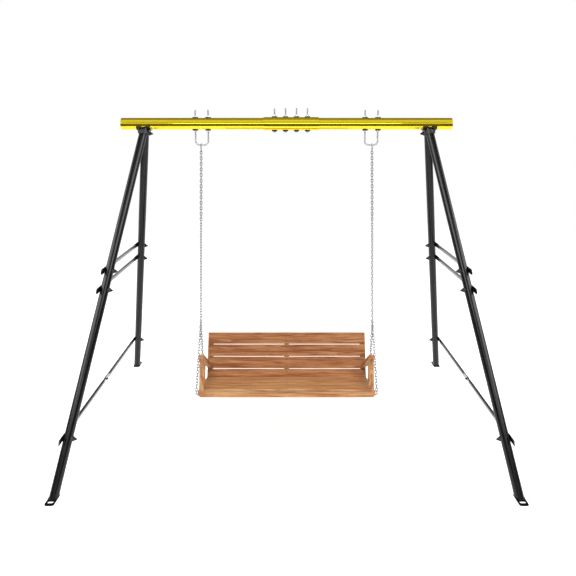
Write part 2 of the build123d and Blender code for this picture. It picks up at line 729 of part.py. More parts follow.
def arm_screw_places():
    """Two screws down through the right-hand arm into its post."""
    offsets = (-ARM_SCREW_OFFSET, ARM_SCREW_OFFSET)
    return [ARM * Pos(0, down_arm(POST_DEPTH / 2) + offset, 0) for offset in offsets]


def down_arm(seat_y, depth=0.0):
    """Distance down the arm, depth under its top, of a line square to the seat from seat_y."""
    foot = (ARM.inverse() * SEAT * Pos(POST_X, seat_y, 0)).position
    head = (ARM.inverse() * SEAT * Pos(POST_X, seat_y, 1)).position
    rise = (-depth - foot.Z) / (head.Z - foot.Z)
    return foot.Y + rise * (head.Y - foot.Y)


def all_screw_places():
    """Every wood screw of the bench."""
    places = []
    for slat in range(SEAT_SLATS):
        places += seat_screw_places(slat)
    for slat in range(BACK_SLATS):
        places += back_screw_places(slat)
    return places


def screw_holes(places):
    """Holes for the given screws."""
    hole = screw_hole()
    return [place * hole for place in places]


def seat_slat(slat):
    """One slat of the seat; the first is notched round the arm posts."""
    timber = board(2 * BENCH_HALF, SEAT_SLAT_WIDTH, SEAT_SLAT_THICKNESS)
    timber = Pos(0, slat * SEAT_SLAT_PITCH, 0) * timber
    if slat == 0:
        notch = Box(POST_WIDTH + NOTCH_GAP, 2 * (POST_DEPTH + NOTCH_GAP), REACH)
        offset = POST_X - NOTCH_GAP / 2
        timber -= [Pos(side * offset, 0, 0) * notch for side in (-1, 1)]
    return SEAT * timber - screw_holes(seat_screw_places(slat))


def back_slat(slat):
    """One slat of the back."""
    timber = Rot(90, 0, 0) * board(2 * BENCH_HALF, BACK_SLAT_WIDTH, BACK_SLAT_THICKNESS)
    timber = BACK * Pos(0, 0, slat * BACK_SLAT_PITCH) * timber
    return timber - screw_holes(back_screw_places(slat))


def rail_blank():
    """Rail with its lower end corners cut off: front at Y = 0, top at Z = 0."""
    rail = board(2 * RAIL_HALF, RAIL_THICKNESS, RAIL_HEIGHT)
    corner_side = RAIL_CHAMFER * math.sqrt(2.0)
    for side in (-1, 1):
        corner = Rot(0, 45, 0) * Box(corner_side, REACH, corner_side)
        rail -= Pos(side * RAIL_HALF, 0, -RAIL_HEIGHT) * corner
    return rail


def front_rail():
    """Rail under the front edge of the seat."""
    rail = SEAT * Pos(0, RAIL_SETBACK, -SEAT_SLAT_THICKNESS) * rail_blank()
    hole = eye_screw(FRONT_EYE_Y, FIT_GAP)
    return rail - [hole, mirrored(hole)] - screw_holes(seat_screw_places(0))


def rear_rail():
    """Rail across the front of the uprights, under the rear of the seat."""
    rail = BACK * Pos(0, -RAIL_THICKNESS, REAR_RAIL_TOP) * rail_blank()
    hole = eye_screw(REAR_EYE_Y, FIT_GAP)
    return rail - [hole, mirrored(hole)] - screw_holes(seat_screw_places(SEAT_SLATS - 1))


def seat_support(x):
    """Bearer under the slats, from rail to rail."""
    length = SEAT_SLATS * SEAT_SLAT_PITCH
    blank = Box(SUPPORT_WIDTH, length, RAIL_HEIGHT, align=(Align.CENTER, Align.MIN, Align.MAX))
    timber = SEAT * Pos(x, RAIL_BACK_Y, -SEAT_SLAT_THICKNESS) * blank
    behind = Box(REACH, REACH, 4 * REACH, align=(Align.CENTER, Align.MIN, Align.CENTER))
    timber -= BACK * Pos(x, -RAIL_THICKNESS, 0) * behind
    places = [place for slat in range(SEAT_SLATS) for place in seat_screw_places(slat)]
    near = [place for place in places if abs(place.position.X - x) < SUPPORT_WIDTH]
    return timber - screw_holes(near)


def back_upright(x):
    """Upright behind the back slats, its heel thickened to reach the rear rail."""
    height = (BACK_SLATS - 1) * BACK_SLAT_PITCH + BACK_SLAT_WIDTH - UPRIGHT_MARGIN
    front = (Align.CENTER, Align.MIN, Align.MIN)
    timber = Pos(0, BACK_SLAT_THICKNESS, 0) * Box(UPRIGHT_WIDTH, UPRIGHT_DEPTH, height, align=front)
    heel_depth = BACK_SLAT_THICKNESS + UPRIGHT_DEPTH
    heel = Box(UPRIGHT_WIDTH, heel_depth, UPRIGHT_HEEL, align=(Align.CENTER, Align.MIN, Align.MAX))
    timber += Pos(0, 0, -NOTCH_GAP) * heel
    neck = Box(UPRIGHT_WIDTH, UPRIGHT_DEPTH, 4 * NOTCH_GAP, align=(Align.CENTER, Align.MIN, Align.CENTER))
    timber += Pos(0, BACK_SLAT_THICKNESS, 0) * neck
    places = [place for slat in range(BACK_SLATS) for place in back_screw_places(slat)]
    near = [place for place in places if abs(place.position.X - x) < UPRIGHT_WIDTH]
    return BACK * Pos(x, 0, 0) * timber - screw_holes(near)


def arm_post():
    """Post at the right-hand front corner, standing on the front rail and lapped behind it."""
    down = SEAT_SLAT_THICKNESS + RAIL_HEIGHT
    blank = Box(POST_WIDTH, POST_DEPTH, REACH, align=(Align.CENTER, Align.MIN, Align.MIN))
    blank = fillet(blank.edges().filter_by(Axis.Z), EDGE_R)
    blank = Pos(0, 0, -down) * blank
    blank -= Pos(0, RAIL_BACK_Y, -SEAT_SLAT_THICKNESS) * Box(REACH, REACH, REACH, align=LAP)
    post = SEAT * Pos(POST_X, 0, 0) * blank
    above = Box(REACH, 4 * REACH, REACH, align=UP)
    post -= ARM * Pos(0, 0, -ARM_THICKNESS) * above
    return post - screw_holes(arm_screw_places())


def arm():
    """Right-hand arm rest, round at the front and cut off against the back."""
    radius = ARM_WIDTH / 2
    outline = Pos(0, radius, 0) * Circle(radius)
    outline += Pos(0, radius, 0) * Rectangle(ARM_WIDTH, 2 * REACH, align=(Align.CENTER, Align.MIN))
    blank = extrude(outline, -ARM_THICKNESS)
    edges = blank.faces().sort_by(Axis.Z)[-1].edges() + blank.faces().sort_by(Axis.Z)[0].edges()
    timber = ARM * fillet(edges, 2 * EDGE_R)
    behind = Box(REACH, 2 * REACH, 8 * REACH, align=(Align.CENTER, Align.MIN, Align.CENTER))
    timber -= BACK * Pos(POST_X, 0, 0) * behind
    return timber - screw_holes(arm_screw_places())


def arm_bracket():
    """Steel angle in the corner behind the post, under the arm."""
    corner = ARM * Pos(-ARM_BRACKET_INSET, down_arm(POST_DEPTH, ARM_THICKNESS), -ARM_THICKNESS)
    width = ARM_BRACKET_WIDTH
    sheet = ARM_BRACKET_SHEET
    on_arm = Box(width, ARM_BRACKET_LEG, sheet, align=(Align.CENTER, Align.MIN, Align.MAX))
    on_post = Box(width, sheet, ARM_BRACKET_LEG, align=(Align.CENTER, Align.MIN, Align.MAX))
    down_post = (SEAT.inverse() * corner).position
    angle = corner * Pos(0, sheet / 2, -FIT_GAP) * on_arm
    angle += SEAT * Pos(down_post.X, down_post.Y + FIT_GAP, down_post.Z - sheet / 2) * on_post
    return angle


# ================================================================ nodes
sleeve_bolts, sleeve_nuts, sleeve_washers = sleeve_hardware()
ubolt_nuts, ubolt_washers = ubolt_hardware()
frame_bolts, frame_nuts, frame_spacers = frame_fasteners()
quick_body, quick_nut = quick_link()
right_ubolt = ubolt()
right_bracket = leg_bracket()
right_arm = arm()
right_post = arm_post()
ends = {"front": -1, "rear": 1}
eye_places = {"front": FRONT_EYE_Y, "rear": REAR_EYE_Y}
joint_half_gap = BEAM_JOINT_GAP / 2

nodes = {
    "beam_left": beam_tube(-BEAM_LENGTH / 2, BEAM_JOINT_X - joint_half_gap),
    "beam_right": beam_tube(BEAM_JOINT_X + joint_half_gap, BEAM_LENGTH / 2),
    "beam_sleeve": beam_sleeve(),
    "beam_end_plugs": group(on_both_sides([end_plug()])),
    "sleeve_bolts": group(sleeve_bolts),
    "sleeve_nuts": group(sleeve_nuts),
    "beam_saddle_washers": group(sleeve_washers + on_both_sides(ubolt_washers)),
    "ubolt_right": right_ubolt,
    "ubolt_left": mirrored(right_ubolt),
    "ubolt_nuts": group(on_both_sides(ubolt_nuts)),
    "leg_bracket_right": right_bracket,
    "leg_bracket_left": mirrored(right_bracket),
    "bracket_screws": group(on_both_sides(bracket_screws())),
    "leg_collars": group(on_both_sides([leg_collar(end) for end in ends.values()])),
    "foot_plates": group(on_both_sides([foot_plate(end) for end in ends.values()])),
    "frame_bolts": group(on_both_sides(frame_bolts)),
    "frame_cap_nuts": group(on_both_sides(frame_nuts)),
    "frame_spacers": group(on_both_sides(frame_spacers)),
    "quick_links": group(on_both_sides([quick_body])),
    "quick_link_nuts": group(on_both_sides([quick_nut])),
    "upper_chain_right": group(upper_chain()),
    "upper_chain_left": group([mirrored(link) for link in upper_chain()]),
    "bridle_rings": group(on_both_sides([bridle_ring()])),
    "eye_screws": group(on_both_sides([eye_screw(y) for y in eye_places.values()])),
    "front_rail": front_rail(),
    "rear_rail": rear_rail(),
    "arm_right": right_arm,
    "arm_left": mirrored(right_arm),
    "arm_post_right": right_post,
    "arm_post_left": mirrored(right_post),
    "arm_brackets": group(on_both_sides([arm_bracket()])),
}

for name, share in (("upper_bar", UPPER_BAR_SHARE), ("middle_bar", MIDDLE_BAR_SHARE)):
    bar = whole_bar(share)
    nodes[name + "_right"] = bar
    nodes[name + "_left"] = mirrored(bar)

for name, end in ends.items():
    right_leg = leg(end)
    nodes[f"leg_{name}_right"] = right_leg
    nodes[f"leg_{name}_left"] = mirrored(right_leg)
    right_half = half_bar(end)
    nodes[f"lower_bar_{name}_right"] = right_half
    nodes[f"lower_bar_{name}_left"] = mirrored(right_half)

for name, eye_y in eye_places.items():
    links = strand(eye_y)
    nodes[f"bridle_chain_{name}_right"] = group(links)
    nodes[f"bridle_chain_{name}_left"] = group([mirrored(link) for link in links])

for slat in range(SEAT_SLATS):
    nodes[f"seat_slat_{slat + 1}"] = seat_slat(slat)

for slat in range(BACK_SLATS):
    nodes[f"back_slat_{slat + 1}"] = back_slat(slat)

nodes["seat_supports"] = group([seat_support(x) for x in SUPPORT_X])
nodes["back_uprights"] = group([back_upright(x) for x in UPRIGHT_X])

screws = [place * wood_screw() for place in all_screw_places()]
screws += on_both_sides([place * wood_screw() for place in arm_screw_places()])
nodes["wood_screws"] = group(screws)

os.makedirs("parts", exist_ok=True)
for name, shape in nodes.items():
    export_step(shape, f"parts/{name}.step")
print(len(nodes), "nodes; ring height", round(RING_Z, 2))
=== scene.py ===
import json
import math
import random

import bmesh
import bpy
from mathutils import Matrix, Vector


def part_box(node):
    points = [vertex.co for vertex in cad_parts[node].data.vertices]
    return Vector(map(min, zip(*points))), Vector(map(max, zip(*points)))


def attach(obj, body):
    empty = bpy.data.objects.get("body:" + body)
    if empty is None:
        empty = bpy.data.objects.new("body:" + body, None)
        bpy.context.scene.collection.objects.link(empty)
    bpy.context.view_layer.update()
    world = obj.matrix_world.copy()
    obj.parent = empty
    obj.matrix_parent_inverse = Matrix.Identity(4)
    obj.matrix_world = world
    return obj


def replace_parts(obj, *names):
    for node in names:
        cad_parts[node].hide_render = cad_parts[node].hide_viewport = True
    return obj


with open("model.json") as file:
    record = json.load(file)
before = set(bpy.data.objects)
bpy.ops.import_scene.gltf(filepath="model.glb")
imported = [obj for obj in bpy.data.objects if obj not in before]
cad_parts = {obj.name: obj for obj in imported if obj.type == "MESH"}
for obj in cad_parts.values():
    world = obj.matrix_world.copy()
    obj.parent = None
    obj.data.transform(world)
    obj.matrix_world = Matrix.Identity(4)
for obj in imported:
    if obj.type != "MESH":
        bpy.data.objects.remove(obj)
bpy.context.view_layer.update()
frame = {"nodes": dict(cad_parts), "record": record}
nodes = frame["nodes"]
scene = bpy.context.scene


# ---------------------------------------------------------------- node helpers
def new_material(name):
    """New node material, with its node tree and its Principled shader."""
    material = bpy.data.materials.new(name)
    material.use_nodes = True
    tree = material.node_tree
    shader = tree.nodes["Principled BSDF"]
    return material, tree, shader


def mapped(tree, scale=(1.0, 1.0, 1.0), offset=(0.0, 0.0, 0.0), turn=(0.0, 0.0, 0.0)):
    """Object coordinates in metres, turned, shifted and multiplied by the scale along each axis."""
    place = tree.nodes.new("ShaderNodeTexCoord")
    mapping = tree.nodes.new("ShaderNodeMapping")
    mapping.vector_type = "TEXTURE"
    mapping.inputs["Rotation"].default_value = turn
    mapping.inputs["Location"].default_value = offset
    mapping.inputs["Scale"].default_value = [1.0 / s for s in scale]
    tree.links.new(place.outputs["Object"], mapping.inputs["Vector"])
    return mapping.outputs["Vector"]


def noise(tree, vector, scale, detail=4.0, roughness=0.5, distortion=0.0):
    """Noise factor over the given coordinates."""
    node = tree.nodes.new("ShaderNodeTexNoise")
    node.inputs["Scale"].default_value = scale
    node.inputs["Detail"].default_value = detail
    node.inputs["Roughness"].default_value = roughness
    node.inputs["Distortion"].default_value = distortion
    tree.links.new(vector, node.inputs["Vector"])
    return node.outputs["Fac"]


def ramp(tree, factor, stops):
    """Colour ramp through (position, colour) stops; a bare number is a grey."""
    node = tree.nodes.new("ShaderNodeValToRGB")
    elements = node.color_ramp.elements
    while len(elements) < len(stops):
        elements.new(0.5)
    for element, (position, colour) in zip(elements, stops):
        element.position = position
        grey = isinstance(colour, (int, float))
        element.color = (colour, colour, colour, 1.0) if grey else (*colour, 1.0)
    tree.links.new(factor, node.inputs["Fac"])
    return node.outputs["Color"]


def mix(tree, factor, first, second, mode="MIX"):
    """Colour mix; factor, first and second are sockets or plain values."""
    node = tree.nodes.new("ShaderNodeMix")
    node.data_type = "RGBA"
    node.blend_type = mode
    for name, value in (("Factor_Float", factor), ("A_Color", first), ("B_Color", second)):
        socket = next(s for s in node.inputs if s.identifier == name)
        if isinstance(value, bpy.types.NodeSocket):
            tree.links.new(value, socket)
        elif name == "Factor_Float":
            socket.default_value = value
        else:
            socket.default_value = (*value, 1.0)
    return next(s for s in node.outputs if s.identifier == "Result_Color")


def bump(tree, shader, height, strength, distance):
    """Bump from a height factor; distance is in metres."""
    node = tree.nodes.new("ShaderNodeBump")
    node.inputs["Strength"].default_value = strength
    node.inputs["Distance"].default_value = distance
    tree.links.new(height, node.inputs["Height"])
    tree.links.new(node.outputs["Normal"], shader.inputs["Normal"])


def to_unit(tree, value):
    """Map a value from -1..1 to 0..1."""
    node = tree.nodes.new("ShaderNodeMapRange")
    node.inputs["From Min"].default_value = -1.0
    tree.links.new(value, node.inputs["Value"])
    return node.outputs["Result"]


# ---------------------------------------------------------------- materials
# Noise scales are per metre; bump depths are in metres.
BLOTCH_SCALE = 9.0
SCUFF_STRETCH = (40.0, 40.0, 7.0)
SCUFF_SCALE = 4.0
HAZED, SCUFFED = 1.35, 2.1
PEEL_SCALE = 420.0
PEEL_DEPTH = 0.0006
COAT_ROUGHNESS_SHARE = 0.6


def powder_coat(name, colour, dark, rough, coat, peel, metallic=0.0, ior=1.5, specular=0.5):
    """Gloss powder coat with orange peel, faint blotches and fine scuffs."""
    material, tree, shader = new_material(name)
    even = mapped(tree)
    blotch = noise(tree, even, BLOTCH_SCALE, detail=5.0, roughness=0.55)
    tone = ramp(tree, blotch, [(0.35, dark), (0.62, colour)])
    tree.links.new(tone, shader.inputs["Base Color"])
    scuff = noise(tree, mapped(tree, SCUFF_STRETCH), SCUFF_SCALE, detail=7.0, roughness=0.7)
    gloss = ramp(tree, scuff, [(0.3, rough), (0.62, rough * HAZED), (0.8, rough * SCUFFED)])
    tree.links.new(gloss, shader.inputs["Roughness"])
    waves = noise(tree, even, PEEL_SCALE, detail=2.0, roughness=0.4)
    bump(tree, shader, waves, peel, PEEL_DEPTH)
    shader.inputs["Metallic"].default_value = metallic
    shader.inputs["IOR"].default_value = ior
    shader.inputs["Specular IOR Level"].default_value = specular
    shader.inputs["Coat Weight"].default_value = coat
    shader.inputs["Coat Roughness"].default_value = rough * COAT_ROUGHNESS_SHARE
    return material


MOULD_CLOUD_SCALE = 60.0
MOULD_GLOSS_SCALE = 240.0
SPARK_SCALE = 1500.0
SPARK_STRENGTH, SPARK_DEPTH = 0.25, 0.0002
MOULD_DARK_SHARE = 0.7


def moulded_plastic(name, colour):
    """Satin moulded plastic with a fine spark-eroded texture."""
    material, tree, shader = new_material(name)
    even = mapped(tree)
    dark = [c * MOULD_DARK_SHARE for c in colour]
    cloud = noise(tree, even, MOULD_CLOUD_SCALE, detail=4.0)
    tone = ramp(tree, cloud, [(0.3, dark), (0.7, colour)])
    tree.links.new(tone, shader.inputs["Base Color"])
    patch = noise(tree, even, MOULD_GLOSS_SCALE, detail=3.0)
    rough = ramp(tree, patch, [(0.3, 0.42), (0.7, 0.6)])
    tree.links.new(rough, shader.inputs["Roughness"])
    bump(tree, shader, noise(tree, even, SPARK_SCALE, detail=2.0), SPARK_STRENGTH, SPARK_DEPTH)
    return material


SPANGLE_SCALE = 130.0
PLATE_GLOSS_SCALE = 300.0
PLATE_DULLED = 1.7
DRAW_SCALE = 900.0
DRAW_STRENGTH, DRAW_DEPTH = 0.18, 0.0003


def plated_steel(name, bright, dull, rough, metallic):
    """Plated steel: spangled tone, cloudy roughness and draw marks."""
    material, tree, shader = new_material(name)
    even = mapped(tree)
    cloud = noise(tree, even, SPANGLE_SCALE, detail=6.0, roughness=0.6)
    tree.links.new(ramp(tree, cloud, [(0.3, dull), (0.65, bright)]), shader.inputs["Base Color"])
    patch = noise(tree, even, PLATE_GLOSS_SCALE, detail=4.0, roughness=0.6)
    gloss = ramp(tree, patch, [(0.3, rough), (0.75, rough * PLATE_DULLED)])
    tree.links.new(gloss, shader.inputs["Roughness"])
    bump(tree, shader, noise(tree, even, DRAW_SCALE, detail=3.0), DRAW_STRENGTH, DRAW_DEPTH)
    shader.inputs["Metallic"].default_value = metallic
    return material


# Each layer of the wood: stretch along X, Y and Z, then noise scale, detail, roughness, distortion.
BROAD = ((2.2, 16.0, 16.0), 1.7, 4.0, 0.55, 0.5)
FIGURE = ((2.0, 34.0, 34.0), 1.6, 6.0, 0.62, 1.0)
STREAK = ((1.2, 60.0, 60.0), 2.0, 5.0, 0.6, 0.4)
GRAIN = ((7.0, 420.0, 420.0), 1.4, 4.0, 0.6)
PORE = ((40.0, 1500.0, 1500.0), 1.0, 2.0, 0.5)
BOARD_SHIFT = 9.0
GRAIN_SHARE, PORE_SHARE, PIT_SHARE = 0.8, 0.35, 0.5
GRAIN_STRENGTH, GRAIN_DEPTH = 0.45, 0.0006
WOOD_SPECULAR = 0.3


def timber(name, seed, tones, turn):
    """Oiled hardwood with its grain along local X: figure, streaks, pores and grain bump."""
    material, tree, shader = new_material(name)
    dice = random.Random(seed)
    shift = [dice.uniform(-BOARD_SHIFT, BOARD_SHIFT) for _ in range(3)]
    layers = (BROAD, FIGURE, STREAK, GRAIN, PORE)
    broad, figure, streak, grain, pore = (
        noise(tree, mapped(tree, stretch, shift, turn), *look) for stretch, *look in layers
    )
    pale, warm, red, deep = tones
    base = ramp(tree, broad, [(0.36, warm), (0.62, pale)])
    figured = mix(tree, ramp(tree, figure, [(0.45, 0.0), (0.60, 0.95)]), base, red)
    streaked = mix(tree, ramp(tree, streak, [(0.56, 0.0), (0.70, 0.85)]), figured, deep)
    fine = ramp(tree, grain, [(0.28, 0.66), (0.60, 1.08)])
    lined = mix(tree, GRAIN_SHARE, streaked, fine, "MULTIPLY")
    pits = ramp(tree, pore, [(0.30, 0.45), (0.42, 1.0)])
    pitted = mix(tree, PORE_SHARE, lined, pits, "MULTIPLY")
    tree.links.new(pitted, shader.inputs["Base Color"])
    tree.links.new(ramp(tree, figure, [(0.3, 0.44), (0.7, 0.62)]), shader.inputs["Roughness"])
    depths = ramp(tree, pore, [(0.30, 0.0), (0.42, 1.0)])
    height = mix(tree, PIT_SHARE, fine, depths, "MULTIPLY")
    bump(tree, shader, height, GRAIN_STRENGTH, GRAIN_DEPTH)
    shader.inputs["Specular IOR Level"].default_value = WOOD_SPECULAR
    return material


YELLOW = powder_coat(
    "yellow_coat", colour=(0.80, 0.62, 0.022), dark=(0.77, 0.59, 0.018),
    rough=0.045, coat=0.1, peel=0.001, metallic=0.85,
)
BLACK = powder_coat(
    "black_coat", colour=(0.006, 0.006, 0.0065), dark=(0.003, 0.003, 0.0035),
    rough=0.13, coat=0.0, peel=0.04, specular=0.24,
)
BAR = powder_coat(
    "bar_coat", colour=(0.014, 0.014, 0.015), dark=(0.009, 0.009, 0.01),
    rough=0.10, coat=0.3, peel=0.02, ior=3.6,
)
FASTENER = powder_coat(
    "black_fastener", colour=(0.008, 0.008, 0.009), dark=(0.004, 0.004, 0.004),
    rough=0.24, coat=0.2, peel=0.12,
)
PLASTIC = moulded_plastic("black_plastic", (0.012, 0.012, 0.012))
ZINC = plated_steel("zinc_plate", (0.50, 0.50, 0.53), (0.33, 0.33, 0.36), rough=0.30, metallic=0.30)
CHAIN = plated_steel("chain_zinc", (0.36, 0.36, 0.38), (0.20, 0.20, 0.22), rough=0.32, metallic=0.45)
# Paler copy of the zinc for the nuts: painted reflection, its light base colour standing in for the
# white studio that the nuts mirror.
NUT_ZINC_PAINTED_REFLECTION = plated_steel("nut_zinc_painted_reflection", (0.90, 0.90, 0.93), (0.78, 0.78, 0.82), rough=0.26, metallic=0.25)
SCREW = plated_steel("bronzed_screw", (0.20, 0.12, 0.06), (0.10, 0.06, 0.035), rough=0.40, metallic=0.8)

# Pale, warm, reddish and deep tone of the seat wood, and a darker copy of the same wood for the back:
# painted shade on the near-upright back boards.
SEAT_TONES = [(0.55, 0.305, 0.135), (0.42, 0.205, 0.083), (0.30, 0.112, 0.040), (0.155, 0.056, 0.019)]
BACK_TONES_PAINTED_SHADE = [(0.50, 0.240, 0.098), (0.34, 0.140, 0.050), (0.25, 0.076, 0.024), (0.115, 0.036, 0.011)]
ARM_TILT = math.radians(31.0)
SEAT_TILT = math.radians(13.0)
BACK_TILT = math.radians(20.0)
ACROSS_BENCH = math.pi / 2
# How the grain of a board is turned from the X axis; a board that is not listed runs along X.
GRAIN_TURNS = {
    "arm_left": (-ARM_TILT, 0.0, ACROSS_BENCH),
    "arm_right": (-ARM_TILT, 0.0, ACROSS_BENCH),
    "arm_post_left": (-SEAT_TILT, ACROSS_BENCH, 0.0),
    "arm_post_right": (-SEAT_TILT, ACROSS_BENCH, 0.0),
    "seat_supports": (-SEAT_TILT, 0.0, ACROSS_BENCH),
    "back_uprights": (-BACK_TILT, ACROSS_BENCH, 0.0),
}
FINISHES = {
    "yellow_paint": YELLOW,
    "black_paint": BLACK,
    "black_plastic": PLASTIC,
    "black_fastener": FASTENER,
    "zinc_plated_steel": ZINC,
    "chain_steel": CHAIN,
    "dark_screw": SCREW,
}
SLOTS = {part["node"]: part["material_slot"] for part in frame["record"]["subparts"]}


def wood_for(name, seed):
    """Material for a timber node, its grain along the board."""
    # Back boards and uprights take the darker copy of the wood: painted shade.
    tones = BACK_TONES_PAINTED_SHADE if name.startswith("back_") else SEAT_TONES
    return timber("wood_" + name, seed, tones, GRAIN_TURNS.get(name, (0.0, 0.0, 0.0)))


def finish_for(name, seed):
    """Material of one CAD node, from the record's slot for it."""
    if "_bar_" in name:
        return BAR
    # The nuts take the paler zinc copy: painted reflection.
    if name in ("sleeve_nuts", "ubolt_nuts"):
        return NUT_ZINC_PAINTED_REFLECTION
    return FINISHES.get(SLOTS[name]) or wood_for(name, seed)


for seed, name in enumerate(sorted(nodes)):
    mesh = nodes[name].data
    mesh.materials.clear()
    mesh.materials.append(finish_for(name, seed))


# ---------------------------------------------------------------- threaded rods
THREAD_PITCH = 0.0015
THREAD_DEPTH = 0.0009
THREAD_STEP = THREAD_PITCH / 6
# The flanks' slope and offset leave a flat crest and a flat root in each pitch.
FLANK_SLOPE, FLANK_OFFSET = 1.6, 0.3
ROD_SIDES = 24
ROD_R = 0.005
ROD_TIP = 0.0012
# A rod starts at this share of its radius and gains the rest over ROD_TIP.
TIP_START, TIP_RISE = 0.8, 0.2
HEX_HALF_WIDTH = 0.0085
HEX_R = HEX_HALF_WIDTH / math.cos(math.pi / 6)
HEX_STEPS = 8
HEAD_HEIGHT = 0.0066
# Height and share of the corner radius: washer face, flats, and turned-down crown.
HEAD_PROFILE = [(0.0, 0.90), (0.0004, 0.93), (0.0004, 1.0), (0.0056, 1.0), (HEAD_HEIGHT, 0.86)]
ROD_NORMAL = Vector((0.0, 1.0, 0.0))


def finished_piece(name, shape, material, smooth=True):
    """Object on the stand from a bmesh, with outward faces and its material."""
    bmesh.ops.recalc_face_normals(shape, faces=shape.faces)
    for face in shape.faces:
        face.smooth = smooth and len(face.verts) == 4
    mesh = bpy.data.meshes.new(name)
    shape.to_mesh(mesh)
    shape.free()
    mesh.materials.append(material)
    piece = bpy.data.objects.new(name, mesh)
    scene.collection.objects.link(piece)
    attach(piece, "stand")
    return piece


def skin(shape, rings, closed=False):
    """Quads between successive rings of vertices; closed joins the last ring to the first."""
    following = rings[1:] + rings[:1] if closed else rings[1:]
    for lower, upper in zip(rings, following):
        for corner, start in enumerate(lower):
            after = (corner + 1) % len(lower)
            shape.faces.new((start, lower[after], upper[after], upper[corner]))


def thread_radius(along, angle):
    """Radius of an M10 rod at a place along it and round it, inside its thread."""
    phase = (along / THREAD_PITCH - angle / math.tau) % 1.0
    flank = min(1.0, max(0.0, FLANK_SLOPE * abs(2.0 * phase - 1.0) - FLANK_OFFSET))
    return ROD_R - THREAD_DEPTH * (1.0 - flank)


def path_length(path):
    """Length of a path through its points."""
    return sum((b - a).length for a, b in zip(path, path[1:]))


def rod_piece(name, path, threads):
    """Zinc-plated rod along a path in the XZ plane; threads are (start, end) distances along it."""
    shape = bmesh.new()
    travelled = 0.0
    length = path_length(path)
    rings = []
    for index, point in enumerate(path):
        if index:
            travelled += (point - path[index - 1]).length
        ahead = path[min(index + 1, len(path) - 1)] - path[max(index - 1, 0)]
        side = ahead.normalized().cross(ROD_NORMAL)
        tip = min(1.0, TIP_START + TIP_RISE * min(travelled, length - travelled) / ROD_TIP)
        threaded = any(start <= travelled <= end for start, end in threads)
        ring = []
        for corner in range(ROD_SIDES):
            angle = math.tau * corner / ROD_SIDES
            radius = thread_radius(travelled, angle) if threaded else ROD_R
            out = math.cos(angle) * side + math.sin(angle) * ROD_NORMAL
            ring.append(shape.verts.new(point + tip * radius * out))
        rings.append(ring)
    skin(shape, rings)
    shape.faces.new(list(reversed(rings[0])))
    shape.faces.new(rings[-1])
    return finished_piece(name, shape, ZINC)


def hex_head(name, place):
    """Hexagon bolt head with a washer face above and a turned-down crown below."""
    shape = bmesh.new()
    rings = []
    for height, share in HEAD_PROFILE:
        ring = []
        for corner in range(6 * HEX_STEPS):
            angle = math.tau * corner / (6 * HEX_STEPS)
            flat = HEX_R * math.cos(math.pi / 6) / math.cos(angle % (math.pi / 3) - math.pi / 6)
            radius = min(flat, HEX_R * share)
            spot = Vector((radius * math.cos(angle), radius * math.sin(angle), -height))
            ring.append(shape.verts.new(place + spot))
        rings.append(ring)
    skin(shape, rings)
    shape.faces.new(rings[0])
    shape.faces.new(rings[-1])
    return finished_piece(name, shape, ZINC, smooth=False)


def straight_points(start, end, step):
    """Evenly spaced points from start up to, but not including, end."""
    count = max(1, round((end - start).length / step))
    return [start.lerp(end, index / count) for index in range(count)]


SLEEVE_BOLTS = 4
SLEEVE_THREAD = 0.062


def sleeve_bolt_pieces():
    """Threaded bolts through the sleeve, in place of the plain ones."""
    low, high = (Vector(corner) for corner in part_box("sleeve_bolts"))
    first = low.x + HEX_R
    pitch = (high.x - low.x - 2 * HEX_R) / (SLEEVE_BOLTS - 1)
    middle_y = (low.y + high.y) / 2
    for index in range(SLEEVE_BOLTS):
        seat = Vector((first + index * pitch, middle_y, low.z + HEAD_HEIGHT))
        top = Vector((seat.x, middle_y, high.z))
        thread_start = Vector((seat.x, middle_y, high.z - SLEEVE_THREAD))
        path = [seat] + straight_points(thread_start, top, THREAD_STEP) + [top]
        length = high.z - seat.z
        name = f"sleeve_bolt_{index + 1}"
        rod = rod_piece(name, path, [(length - SLEEVE_THREAD, length)])
        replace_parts(rod, "sleeve_bolts")
        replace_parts(hex_head(f"{name}_head", seat), "sleeve_bolts")


UBOLT_THREAD = 0.150
UBOLT_BEND_R = 0.025
BEND_STEPS = 14
SHANK_STEP = 0.01


def ubolt_piece(side):
    """U-bolt with threaded legs, in place of the plain one."""
    node = f"ubolt_{side}"
    low, high = (Vector(corner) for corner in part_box(node))
    left, right = low.x + ROD_R, high.x - ROD_R
    y = (low.y + high.y) / 2
    thread_z = high.z - UBOLT_THREAD
    bend_z = low.z + ROD_R + UBOLT_BEND_R
    left_thread, left_bend = Vector((left, y, thread_z)), Vector((left, y, bend_z))
    right_thread, right_bend = Vector((right, y, thread_z)), Vector((right, y, bend_z))
    right_top = Vector((right, y, high.z))
    path = straight_points(Vector((left, y, high.z)), left_thread, THREAD_STEP)
    path += straight_points(left_thread, left_bend, SHANK_STEP)
    for centre_x, start in ((left + UBOLT_BEND_R, math.pi), (right - UBOLT_BEND_R, 1.5 * math.pi)):
        for step in range(BEND_STEPS + 1):
            angle = start + math.pi / 2 * step / BEND_STEPS
            spot = Vector((math.cos(angle), 0.0, math.sin(angle))) * UBOLT_BEND_R
            path.append(Vector((centre_x, y, bend_z)) + spot)
    path += list(reversed(straight_points(right_thread, right_bend, SHANK_STEP)))[:-1]
    path += straight_points(right_thread, right_top, THREAD_STEP)
    path.append(right_top)
    length = path_length(path)
    threads = [(0.0, UBOLT_THREAD), (length - UBOLT_THREAD, length)]
    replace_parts(rod_piece(f"threaded_{node}", path, threads), node)


sleeve_bolt_pieces()
for side in ("left", "right"):
    ubolt_piece(side)


